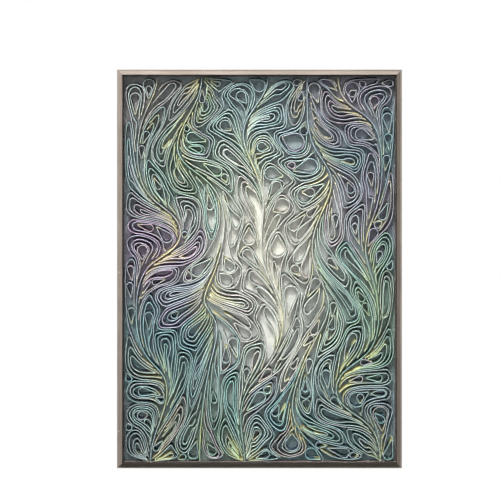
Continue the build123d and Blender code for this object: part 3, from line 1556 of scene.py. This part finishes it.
@dataclass(frozen=True)
class LimedWood:
    """Taupe limed wood with grain along the rail, pale pores, pale spots and painted shade along the sight
    edge.

    Attributes:
        grain: Axis of the grain.
        lip: Half width and half height inside which the sight edge gets painted shade.
        pale_spots: Place across, place up and radius of each pale spot.
        fray: Unevenness of a spot's outline, in metres.
        sight_shade_fade: Half the width over which the painted shade starts, in metres.
        dark: Darker wood.
        light: Lighter wood.
        lime: Limed pores.
        cloud: Colour of the duller stretches.
        pale_mark: Colour of a pale spot.
        sight_shade: Darker and lighter painted shade along the sight edge.
    """

    grain: Grain
    lip: tuple[float, float]
    pale_spots: tuple[tuple[float, float, float], ...] = ()
    fray: float = 0.0012
    sight_shade_fade: float = 0.0003
    dark: Colour = linear(176, 162, 150)
    light: Colour = linear(198, 184, 171)
    lime: Colour = linear(214, 205, 196)
    cloud: Colour = linear(164, 149, 138)
    pale_mark: Colour = linear(236, 230, 220)
    sight_shade: tuple[Colour, Colour] = (linear(56, 49, 46), linear(70, 62, 57))

    def build(self, groups: SharedGroups) -> bpy.types.Material:
        """Make the material.

        Args:
            groups: Shared node groups.

        Returns:
            The material.
        """
        material, help_, shader = fresh_material(f"Limed wood {self.grain.name.lower()}")
        place = help_.place()
        along = help_.add("ShaderNodeMapping", Vector=place, Scale=self.grain.value).outputs[0]
        figure = groups.place(help_, groups.mottle, Place=along, Cloud_Scale=260.0, Fibre_Scale=1500.0)
        clouds = groups.place(help_, groups.mottle, Place=place, Cloud_Scale=14.0, Fibre_Scale=420.0)
        tone, pores = figure.outputs["Tone"], figure.outputs["Fibre"]
        wood = help_.mix(tone, self.dark, self.light)
        wood = help_.mix(help_.ramp(pores, 0.56, 0.68, 0.0, 0.55), wood, self.lime)
        wood = help_.mix(help_.ramp(clouds.outputs["Tone"], 0.2, 1.0, 0.0, 0.3), wood, self.cloud)
        # Small near-white spots on the left rail.
        for x, z, radius in self.pale_spots:
            flat = help_.vector("MULTIPLY", place, (1.0, 0.0, 1.0)).outputs[0]
            away = help_.vector("DISTANCE", flat, (x, 0.0, z)).outputs["Value"]
            ragged = help_.math("ADD", away, help_.ramp(pores, 0.3, 0.7, 0.0, self.fray))
            wood = help_.mix(help_.ramp(ragged, radius * 0.6, radius, 1.0, 0.0), wood, self.pale_mark)
        split = help_.add("ShaderNodeSeparateXYZ", Vector=place)
        inside = help_.math(
            "MINIMUM",
            help_.math("SUBTRACT", self.lip[0], help_.math("ABSOLUTE", split.outputs["X"])),
            help_.math("SUBTRACT", self.lip[1], help_.math("ABSOLUTE", split.outputs["Z"])),
        )
        # Painted shade: the sight edge is darkened where the shadow gap inside the frame falls.
        sight_shade_share = help_.ramp(inside, -self.sight_shade_fade, self.sight_shade_fade)
        wood = help_.mix(sight_shade_share, wood, help_.mix(tone, *self.sight_shade))
        help_.feed(shader.inputs["Base Color"], wood)
        help_.feed(shader.inputs["Roughness"], help_.ramp(tone, 0.0, 1.0, 0.5, 0.66))
        help_.bump(shader, pores, strength=0.35, distance=0.0003)
        shader.inputs["Specular IOR Level"].default_value = 0.2
        return material


@dataclass(frozen=True)
class DarkCard:
    """Dark brown lined card of the spacers.

    Attributes:
        dark: Darker card.
        light: Lighter card.
        roughness: Least and most roughness.
    """

    dark: Colour = linear(84, 76, 72)
    light: Colour = linear(106, 96, 90)
    roughness: tuple[float, float] = (0.7, 0.9)

    def build(self, groups: SharedGroups) -> bpy.types.Material:
        """Make the material.

        Args:
            groups: Shared node groups.

        Returns:
            The material.
        """
        material, help_, shader = fresh_material("Dark card")
        mottle = groups.place(
            help_, groups.mottle, Place=help_.place(), Cloud_Scale=40.0, Fibre_Scale=900.0
        )
        colour = help_.mix(mottle.outputs["Tone"], self.dark, self.light)
        help_.feed(shader.inputs["Base Color"], colour)
        rough = help_.ramp(mottle.outputs["Fibre"], 0.3, 0.7, *self.roughness)
        help_.feed(shader.inputs["Roughness"], rough)
        return material


@dataclass(frozen=True)
class ClearSheet:
    """Clear polished glazing that lets the lamp through.

    Attributes:
        refraction: Index of refraction, far under that of glass so that the sheet mirrors little.
        clear: Colour of the sheet.
    """

    refraction: float = 1.06
    clear: Colour = (0.98, 0.99, 0.985, 1.0)

    def build(self) -> bpy.types.Material:
        """Make the material.

        Returns:
            The material.
        """
        material, help_, shader = fresh_material("Clear glazing")
        shader.inputs["Base Color"].default_value = self.clear
        shader.inputs["Roughness"].default_value = 0.0
        shader.inputs["IOR"].default_value = self.refraction
        shader.inputs["Transmission Weight"].default_value = 1.0
        open_air = help_.add("ShaderNodeBsdfTransparent")
        path = help_.add("ShaderNodeLightPath")
        blend = help_.add("ShaderNodeMixShader")
        help_.feed(blend.inputs[0], path.outputs["Is Shadow Ray"])
        help_.feed(blend.inputs[1], shader.outputs[0])
        help_.feed(blend.inputs[2], open_air.outputs[0])
        output = next(node for node in material.node_tree.nodes if node.type == "OUTPUT_MATERIAL")
        help_.feed(output.inputs["Surface"], blend.outputs[0])
        return material


@dataclass(frozen=True)
class PaintedBoard:
    """Fibreboard washed with soft colour in front and raw behind, the wash darkening away from the middle
    partly as painted shade.

    Attributes:
        front_y: Place of the board's front.
        heart: Half width and half height of the pale middle.
        chalk_share: Share of chalk in the wash.
        chalk: Colour of the chalk.
        core: Colour that the middle pales to.
        shade: Colour that the wash darkens to away from the middle, partly the panel's darker outer colours
            and partly painted shade for the narrow gaps between strips.
        raw: Darker and lighter raw board.
        raw_fibre: Dark fibres in the raw board.
    """

    front_y: float
    heart: tuple[float, float] = (0.2, 0.3)
    chalk_share: float = 0.3
    chalk: Colour = linear(206, 210, 206)
    core: Colour = linear(240, 234, 226)
    shade: Colour = (0.035, 0.045, 0.05, 1.0)
    raw: tuple[Colour, Colour] = (linear(157, 129, 98), linear(167, 139, 107))
    raw_fibre: Colour = linear(112, 88, 66)

    def build(self, groups: SharedGroups) -> bpy.types.Material:
        """Make the material.

        Args:
            groups: Shared node groups.

        Returns:
            The material.
        """
        material, help_, shader = fresh_material("Washed board")
        place = help_.place()
        mottle = groups.place(help_, groups.mottle, Place=place, Cloud_Scale=60.0, Fibre_Scale=700.0)
        tone, fibre = mottle.outputs["Tone"], mottle.outputs["Fibre"]
        fields = groups.place(help_, groups.fields, Place=place)
        flat = help_.vector("MULTIPLY", place, (1 / self.heart[0], 0.0, 1 / self.heart[1]))
        away = help_.vector("LENGTH", flat.outputs[0]).outputs["Value"]
        vivid = help_.add(
            "ShaderNodeHueSaturation", Saturation=1.7, Value=0.9, Color=fields.outputs["Color"]
        )
        wash = help_.mix(self.chalk_share, vivid.outputs[0], self.chalk)
        wash = help_.mix(help_.ramp(away, 0.15, 0.8, 0.12, 0.0), wash, self.core)
        # Partly painted shade: the floor between the strips darkens away from the middle, with random clouds.
        depth = help_.ramp(away, 0.25, 1.1, 0.0, 0.38)
        depth = help_.math("ADD", depth, help_.ramp(tone, 0.0, 1.0, 0.0, 0.15))
        wash = help_.mix(depth, wash, self.shade)
        raw = help_.mix(help_.ramp(fibre, 0.55, 0.7, 0.0, 0.5), help_.mix(tone, *self.raw), self.raw_fibre)
        split = help_.add("ShaderNodeSeparateXYZ", Vector=place)
        behind = help_.ramp(split.outputs["Y"], self.front_y + 0.0002, self.front_y + 0.0006)
        help_.feed(shader.inputs["Base Color"], help_.mix(behind, wash, raw))
        help_.feed(shader.inputs["Roughness"], help_.ramp(fibre, 0.3, 0.7, 0.72, 0.9))
        help_.bump(shader, fibre, strength=0.2, distance=0.0003)
        return material


@dataclass
class StripSweep:
    """Geometry Nodes tree that stands strips of paper on edge along plane paths.

    Attributes:
        material: Finish of the strips.
        thickness: Thickness of the paper.
        depth: Height of a strip from foot to front edge.
        foot: Distance of its foot in front of the panel's back.
        rounding: Rounding of its edges.
        unevenness: Most that a front edge stands back.
        lean: How far a strip's front hangs below its foot, as a share of its depth.
        seed: Start of the chance values.
    """

    material: bpy.types.Material
    thickness: float
    depth: float
    foot: float
    rounding: float = 0.00022
    unevenness: float = 0.0009
    lean: float = 0.32
    seed: int = 11

    def __post_init__(self) -> None:
        """Build the tree once."""
        self.tree = self.build_tree()

    def build_tree(self) -> bpy.types.NodeTree:
        """Make the node tree.

        Returns:
            The tree, with named inputs for its sizes.
        """
        tree = bpy.data.node_groups.new("Paper strips on edge", "GeometryNodeTree")
        sockets = tree.interface
        sockets.new_socket("Paths", in_out="INPUT", socket_type="NodeSocketGeometry")
        for label in ("Thickness", "Depth", "Foot", "Rounding", "Unevenness", "Lean"):
            sockets.new_socket(label, in_out="INPUT", socket_type="NodeSocketFloat")
        sockets.new_socket("Seed", in_out="INPUT", socket_type="NodeSocketInt")
        sockets.new_socket("Material", in_out="INPUT", socket_type="NodeSocketMaterial")
        sockets.new_socket("Strips", in_out="OUTPUT", socket_type="NodeSocketGeometry")
        help_ = NodeHelp(tree)
        given = help_.add("NodeGroupInput")
        strips = self.swept(help_, given)
        strips = self.hung(help_, given, strips)
        strips = self.stood(help_, given, strips)
        strips = self.creased(help_, strips)
        real = help_.add("GeometryNodeRealizeInstances", Geometry=strips)
        dressed = help_.add(
            "GeometryNodeSetMaterial", Geometry=real.outputs[0], Material=given.outputs["Material"]
        )
        result = help_.add("NodeGroupOutput")
        help_.feed(result.inputs["Strips"], dressed.outputs[0])
        return tree

    @staticmethod
    def swept(help_: NodeHelp, given: bpy.types.Node) -> bpy.types.NodeSocket:
        """Sweep the paper's section along the paths, lying flat, with a chance value for each strip.

        Args:
            help_: Helper for the tree.
            given: Inputs of the tree.

        Returns:
            The swept strips.
        """
        size = given.outputs
        curve = help_.add("GeometryNodeMeshToCurve", Mesh=size["Paths"])
        level = help_.add("GeometryNodeSetCurveNormal", {"mode": "Z_UP"}, Curve=curve.outputs[0])
        lot = help_.add("FunctionNodeRandomValue", {"data_type": "FLOAT"})
        help_.feed(lot.inputs[2], 0.0)
        help_.feed(lot.inputs[3], 1.0)
        help_.feed(lot.inputs["ID"], help_.add("GeometryNodeInputIndex").outputs[0])
        help_.feed(lot.inputs["Seed"], size["Seed"])
        marked = help_.add(
            "GeometryNodeStoreNamedAttribute",
            {"data_type": "FLOAT", "domain": "CURVE"},
            Geometry=level.outputs[0],
            Name="lot",
            Value=lot.outputs[1],
        )
        section = help_.add(
            "GeometryNodeCurvePrimitiveQuadrilateral", Width=size["Thickness"], Height=size["Depth"]
        )
        rounded = help_.add(
            "GeometryNodeFilletCurve",
            {"mode": "POLY"},
            Curve=section.outputs[0],
            Radius=size["Rounding"],
            Count=1,
        )
        swept = help_.add(
            "GeometryNodeCurveToMesh",
            Curve=marked.outputs[0],
            Profile_Curve=rounded.outputs[0],
            Fill_Caps=True,
        )
        return swept.outputs[0]

    @staticmethod
    def hung(
        help_: NodeHelp, given: bpy.types.Node, strips: bpy.types.NodeSocket
    ) -> bpy.types.NodeSocket:
        """Let the strips lean a little and their front edges stand unevenly.

        Args:
            help_: Helper for the tree.
            given: Inputs of the tree.
            strips: Strips, lying flat.

        Returns:
            The uneven strips.
        """
        place = help_.add("GeometryNodeInputPosition").outputs[0]
        height = help_.add("ShaderNodeSeparateXYZ", Vector=place).outputs["Z"]
        wave = help_.add("ShaderNodeTexNoise", Vector=place, Scale=45.0, Detail=1.0)
        lot = help_.add("GeometryNodeInputNamedAttribute", {"data_type": "FLOAT"}, Name="lot")
        sunk = help_.math(
            "ADD",
            help_.math("MULTIPLY", lot.outputs[0], 0.6),
            help_.math("MULTIPLY", wave.outputs[0], 0.4),
        )
        sunk = help_.math("MULTIPLY", sunk, help_.math("GREATER_THAN", height, 0.0))
        sunk = help_.math("MULTIPLY", sunk, given.outputs["Unevenness"])
        hang = help_.math("MULTIPLY", height, given.outputs["Lean"])
        offset = help_.add(
            "ShaderNodeCombineXYZ", Y=help_.math("MULTIPLY", hang, -1.0), Z=help_.math("MULTIPLY", sunk, -1.0)
        )
        return help_.add("GeometryNodeSetPosition", Geometry=strips, Offset=offset.outputs[0]).outputs[0]

    @staticmethod
    def stood(
        help_: NodeHelp, given: bpy.types.Node, strips: bpy.types.NodeSocket
    ) -> bpy.types.NodeSocket:
        """Stand the strips on the board.

        Args:
            help_: Helper for the tree.
            given: Inputs of the tree.
            strips: Strips, lying flat.

        Returns:
            Strips with their front edges to the front.
        """
        half = help_.math("MULTIPLY", given.outputs["Depth"], 0.5)
        out = help_.math("MULTIPLY", help_.math("ADD", half, given.outputs["Foot"]), -1.0)
        stood = help_.add(
            "GeometryNodeTransform",
            Geometry=strips,
            Translation=help_.add("ShaderNodeCombineXYZ", Y=out).outputs[0],
            Rotation=(math.pi / 2, 0.0, 0.0),
        )
        return stood.outputs[0]

    @staticmethod
    def creased(help_: NodeHelp, strips: bpy.types.NodeSocket) -> bpy.types.NodeSocket:
        """Mark the cut edges, and shade the strips smooth but for their corners.

        Args:
            help_: Helper for the tree.
            strips: Strips on the board.

        Returns:
            Strips ready for their material.
        """
        sharp_angle = 0.65
        normal = help_.add("ShaderNodeSeparateXYZ", Vector=help_.add("GeometryNodeInputNormal").outputs[0])
        # cut_edge marks the front-facing cut edges; the paper finish paints them paler, partly as painted
        # highlight.
        edged = help_.add(
            "GeometryNodeStoreNamedAttribute",
            {"data_type": "FLOAT", "domain": "FACE"},
            Geometry=strips,
            Name="cut_edge",
            Value=help_.ramp(normal.outputs["Y"], -0.9, -0.4, 1.0, 0.0),
        )
        smooth = help_.add(
            "GeometryNodeSetShadeSmooth", {"domain": "FACE"}, Geometry=edged.outputs[0], Shade_Smooth=True
        )
        sharp = help_.add("FunctionNodeCompare", {"data_type": "FLOAT", "operation": "GREATER_THAN"})
        help_.feed(sharp.inputs[0], help_.add("GeometryNodeInputMeshEdgeAngle").outputs["Unsigned Angle"])
        help_.feed(sharp.inputs[1], sharp_angle)
        crisp = help_.add(
            "GeometryNodeSetShadeSmooth",
            {"domain": "EDGE"},
            Geometry=smooth.outputs[0],
            Selection=sharp.outputs[0],
            Shade_Smooth=False,
        )
        return crisp.outputs[0]

    @staticmethod
    def draw_paths(name: str, strips: list[Strip]) -> bpy.types.Object:
        """Draw the middle lines of strips, with their colours, as a mesh of edges.

        Args:
            name: Name of the piece.
            strips: Strips of the piece.

        Returns:
            Object that holds the lines.
        """
        points = np.concatenate([strip.points for strip in strips])
        edges = []
        start = 0
        for strip in strips:
            count = len(strip.points)
            edges += [(start + place, start + place + 1) for place in range(count - 1)]
            start += count
        paths = bpy.data.meshes.new(f"{name}_paths")
        paths.from_pydata([(x, z, 0.0) for x, z in points], edges, [])
        tints = np.concatenate([np.broadcast_to(strip.tint, (len(strip.points), 4)) for strip in strips])
        tint = paths.attributes.new("tint", "FLOAT_COLOR", "POINT")
        tint.data.foreach_set("color", tints.astype(np.float32).ravel())
        straws = np.concatenate([strip.straw for strip in strips])
        straw = paths.attributes.new("straw", "FLOAT", "POINT")
        straw.data.foreach_set("value", straws.astype(np.float32))
        guide = bpy.data.objects.new(f"{name}_guide", paths)
        bpy.context.scene.collection.objects.link(guide)
        return guide

    def make(self, name: str, strips: list[Strip]) -> bpy.types.Object:
        """Stand a group of strips on the board as one plain mesh.

        Args:
            name: Name of the piece.
            strips: Strips of the piece.

        Returns:
            The piece, at the origin.
        """
        guide = self.draw_paths(name, strips)
        modifier = guide.modifiers.new("Strips", "NODES")
        modifier.node_group = self.tree
        values = {
            "Thickness": self.thickness,
            "Depth": self.depth,
            "Foot": self.foot,
            "Rounding": self.rounding,
            "Unevenness": self.unevenness,
            "Lean": self.lean,
            "Seed": self.seed,
            "Material": self.material,
        }
        for item in self.tree.interface.items_tree:
            if item.in_out == "INPUT" and item.name in values:
                modifier[item.identifier] = values[item.name]
        bpy.context.view_layer.update()
        ready = guide.evaluated_get(bpy.context.evaluated_depsgraph_get())
        mesh = bpy.data.meshes.new_from_object(ready)
        mesh.name = name
        paths = guide.data
        bpy.data.objects.remove(guide)
        bpy.data.meshes.remove(paths)
        piece = bpy.data.objects.new(name, mesh)
        bpy.context.scene.collection.objects.link(piece)
        return piece


@dataclass
class PaperRelief:
    """Curled strips of paper that stand on the board.

    Attributes:
        slots: Material slot of each solid; not used.
        nodes: Solids by name.
        layout: Rules of the pattern.
        fit: Most by which the pattern's height may miss the stems'.
    """

    slots: dict[str, str]
    nodes: dict[str, bpy.types.Object]
    layout: PaperLayout = PaperLayout()
    fit: float = 0.001

    def build(self, groups: SharedGroups) -> None:
        """Make every strip, and hide each solid whose strips are rebuilt.

        Args:
            groups: Shared node groups.
        """
        low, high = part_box("feather_1_stem")
        if abs((high.z - low.z) - self.layout.field_height) > self.fit:
            raise ValueError("the paper layout doesn't fit the packed stems")
        pattern = Pattern(self.layout)
        pattern.draw()
        sweep = StripSweep(
            material=PaperFinish().build(groups),
            thickness=self.layout.strip_thickness,
            depth=high.y - low.y,
            foot=-high.y,
        )
        for name, strips in sorted(pattern.groups.items()):
            piece = sweep.make(f"{name}_strips", strips)
            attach(piece, "root")
            if name in self.nodes:
                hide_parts(name)
            log.info("%s: %d strips, %d faces", piece.name, len(strips), len(piece.data.polygons))


@dataclass
class BoxFrame:
    """Mitred rails, spacers, glazing and backing board, which keep their solids.

    Attributes:
        nodes: Solids by name.
        sight_shade_width: Width of the painted shade along the sight edge.
        pale_spots: Place across, place up and radius of each pale spot in the upright rails.
    """

    nodes: dict[str, bpy.types.Object]
    sight_shade_width: float = 0.001
    pale_spots: tuple[tuple[float, float, float], ...] = ((-0.2458, -0.006, 0.0022), (-0.2468, -0.285, 0.002))

    def dress(self, groups: SharedGroups) -> None:
        """Give each solid its finish.

        Args:
            groups: Shared node groups.
        """
        sight_x = -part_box("left_rail")[1].x
        sight_z = -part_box("bottom_rail")[1].z
        # Painted shade on the rails reaches this far beyond the sight edge.
        lip = (sight_x + self.sight_shade_width, sight_z + self.sight_shade_width)
        level = LimedWood(Grain.LEVEL, lip).build(groups)
        upright = LimedWood(Grain.UPRIGHT, lip, self.pale_spots).build(groups)
        card = DarkCard().build(groups)
        finishes = {
            "top_rail": level,
            "bottom_rail": level,
            "left_rail": upright,
            "right_rail": upright,
            "top_spacer": card,
            "bottom_spacer": card,
            "left_spacer": card,
            "right_spacer": card,
            "glazing": ClearSheet().build(),
            "backing_board": PaintedBoard(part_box("backing_board")[0].y).build(groups),
        }
        for name, material in finishes.items():
            piece = self.nodes[name]
            piece.data.materials.clear()
            piece.data.materials.append(material)
            log.info("%s: dressed with %s", name, material.name)


@dataclass
class Studio:
    """Floor, lamp, background and camera.

    Attributes:
        floor_z: Height of the floor.
        floor_reach: Distance that it goes to the sides and back.
        floor_front: Place where it ends in front.
        lamp_place: Place of the lamp.
        lamp_aim: Place that it points at.
        lamp_size: Width and height of the lamp.
        lamp_power: Its power, in watts.
        lamp_spread: Angle of its beam, in degrees.
        low_light: Strength of the soft light from the sides and from below.
        high_light: Strength of the soft light from above.
        back_light: Strength of the soft light from behind.
        camera_place: Place of the camera.
        sensor: Width of its sensor, in millimetres.
        lens: Focal length, in millimetres.
        shift_y: Shift of the picture down the sensor.
    """

    floor_z: float = -1.6
    floor_reach: float = 1.5
    floor_front: float = -0.8
    lamp_place: tuple[float, float, float] = (-0.55, -1.36, 1.92)
    lamp_aim: tuple[float, float, float] = (0.0, 0.0, -0.02)
    lamp_size: tuple[float, float] = (1.3, 0.8)
    lamp_power: float = 5.5
    lamp_spread: float = 40.0
    low_light: float = 0.004
    high_light: float = 0.2
    back_light: float = 0.3
    camera_place: tuple[float, float, float] = (-0.0166, -2.088, 0.1)
    sensor: float = 36.0
    lens: float = 84.4
    shift_y: float = -0.0762

    def build(self) -> None:
        """Set up the studio."""
        self.build_floor()
        self.build_lamp()
        self.build_world()
        self.build_camera()

    def build_floor(self) -> None:
        """Lay a pale floor well under the hung panel."""
        reach, front = self.floor_reach, self.floor_front
        flat = [(-reach, front), (reach, front), (reach, reach), (-reach, reach)]
        mesh = bpy.data.meshes.new("floor")
        mesh.from_pydata([(x, y, self.floor_z) for x, y in flat], [], [(0, 1, 2, 3)])
        floor = bpy.data.objects.new("floor", mesh)
        bpy.context.scene.collection.objects.link(floor)
        material, _, shader = fresh_material("Pale floor")
        shader.inputs["Base Color"].default_value = linear(232, 232, 230)
        shader.inputs["Roughness"].default_value = 0.9
        mesh.materials.append(material)

    def build_lamp(self) -> None:
        """Hang one soft lamp above and in front."""
        light = bpy.data.lights.new("key", "AREA")
        light.shape = "RECTANGLE"
        light.size, light.size_y = self.lamp_size
        light.energy = self.lamp_power
        light.spread = math.radians(self.lamp_spread)
        lamp = bpy.data.objects.new("key", light)
        lamp.location = self.lamp_place
        aim = Vector(self.lamp_aim) - Vector(self.lamp_place)
        lamp.rotation_euler = aim.to_track_quat("-Z", "Y").to_euler()
        bpy.context.scene.collection.objects.link(lamp)

    def build_world(self) -> None:
        """Give soft light from above and behind, and a white background to look at."""
        world = bpy.data.worlds.new("studio")
        world.use_nodes = True
        bpy.context.scene.world = world
        tree = world.node_tree
        tree.nodes.clear()
        help_ = NodeHelp(tree)
        path = help_.add("ShaderNodeLightPath")
        seen = help_.math("MAXIMUM", path.outputs["Is Camera Ray"], path.outputs["Is Transmission Ray"])
        seen = help_.math("MAXIMUM", seen, path.outputs["Is Glossy Ray"])
        sky = help_.add("ShaderNodeTexCoord").outputs["Generated"]
        way = help_.add("ShaderNodeSeparateXYZ", Vector=sky)
        above = help_.ramp(way.outputs["Z"], 0.25, 0.95, self.low_light, self.high_light)
        behind = help_.ramp(way.outputs["Y"], 0.1, 0.8, 0.0, self.back_light)
        strength = help_.math("ADD", above, behind)
        soft = help_.add("ShaderNodeBackground", Color=(0.98, 1.0, 0.98, 1.0), Strength=strength)
        white = help_.add("ShaderNodeBackground", Color=(1.0, 1.0, 1.0, 1.0), Strength=1.0)
        blend = help_.add("ShaderNodeMixShader")
        help_.feed(blend.inputs[0], seen)
        help_.feed(blend.inputs[1], soft.outputs[0])
        help_.feed(blend.inputs[2], white.outputs[0])
        output = help_.add("ShaderNodeOutputWorld")
        help_.feed(output.inputs["Surface"], blend.outputs[0])

    def build_camera(self) -> None:
        """Face the panel straight on, a little above its middle."""
        data = bpy.data.cameras.new("camera")
        data.sensor_width = self.sensor
        data.lens = self.lens
        data.shift_y = self.shift_y
        camera = bpy.data.objects.new("camera", data)
        camera.location = self.camera_place
        camera.rotation_euler = (math.pi / 2, 0.0, 0.0)
        bpy.context.scene.collection.objects.link(camera)
        bpy.context.scene.camera = camera
        bpy.context.scene.view_settings.view_transform = "Standard"


def main() -> None:
    """Build the panel's looks in order."""
    logging.basicConfig(level=logging.INFO, format="%(name)s: %(message)s")
    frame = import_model()
    slots = {part["node"]: part["material_slot"] for part in frame["record"]["subparts"]}
    groups = SharedGroups()
    PaperRelief(slots, frame["nodes"]).build(groups)
    BoxFrame(frame["nodes"]).dress(groups)
    Studio().build()


if __name__ == "__main__":
    main()
